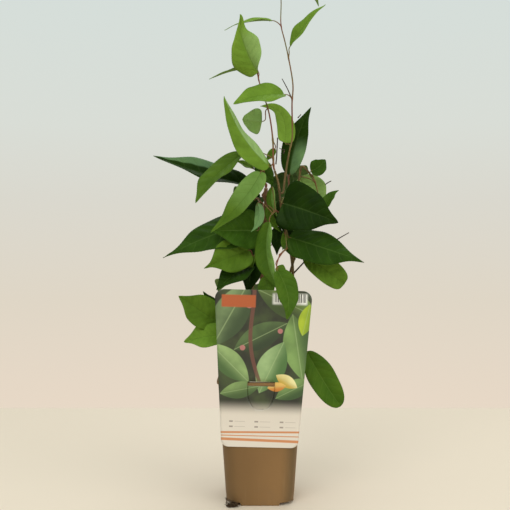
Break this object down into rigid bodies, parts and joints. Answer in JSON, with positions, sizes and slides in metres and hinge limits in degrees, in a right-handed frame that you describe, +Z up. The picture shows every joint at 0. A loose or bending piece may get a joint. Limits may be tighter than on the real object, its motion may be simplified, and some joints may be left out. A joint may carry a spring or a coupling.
{
  "type": "potted hardy kiwi vine",
  "caption": "Young hardy kiwi vine with thin winding stems and drooping oval leaves in a square tapered nursery pot with a hanging picture label.",
  "frame": {"origin": "middle of the pot's flat underside", "axes": "+Z up along the vine, -Y towards the label on the pot's front, +X to the right of the label as seen from the front"},
  "size_m": [0.2255, 0.1788, 0.6152],
  "materials": {
    "pot_plastic": "semi-matte moulded, taupe brown",
    "potting_soil": "dark moist peat",
    "label_card": "smooth printed card in greens and cream",
    "bark": "reddish brown, slightly rough",
    "shoot": "smooth brown-red young shoot",
    "leaf": "satin green leaves with pale undersides",
    "fine_roots": "dark fibrous"
  },
  "bodies": {
    "root": {"pot": "pot_plastic", "soil": "potting_soil", "label": "label_card", "root_tuft": "fine_roots", "trunk": "bark", "right_stem": "shoot", "thin_stem": "shoot", "leader": "shoot", "side_shoot": "shoot", "leader_foliage": "leaf", "upper_left_foliage": "leaf", "left_foliage": "leaf", "middle_left_foliage": "leaf", "lower_left_foliage": "leaf", "centre_foliage": "leaf", "front_foliage": "leaf", "right_foliage": "leaf", "lower_right_foliage": "leaf", "side_shoot_foliage": "leaf", "upright_foliage": "leaf", "low_left_foliage": "leaf", "low_right_foliage": "leaf", "back_left_foliage": "leaf", "back_right_foliage": "leaf", "back_low_foliage": "leaf"}
  },
  "joints": []
}
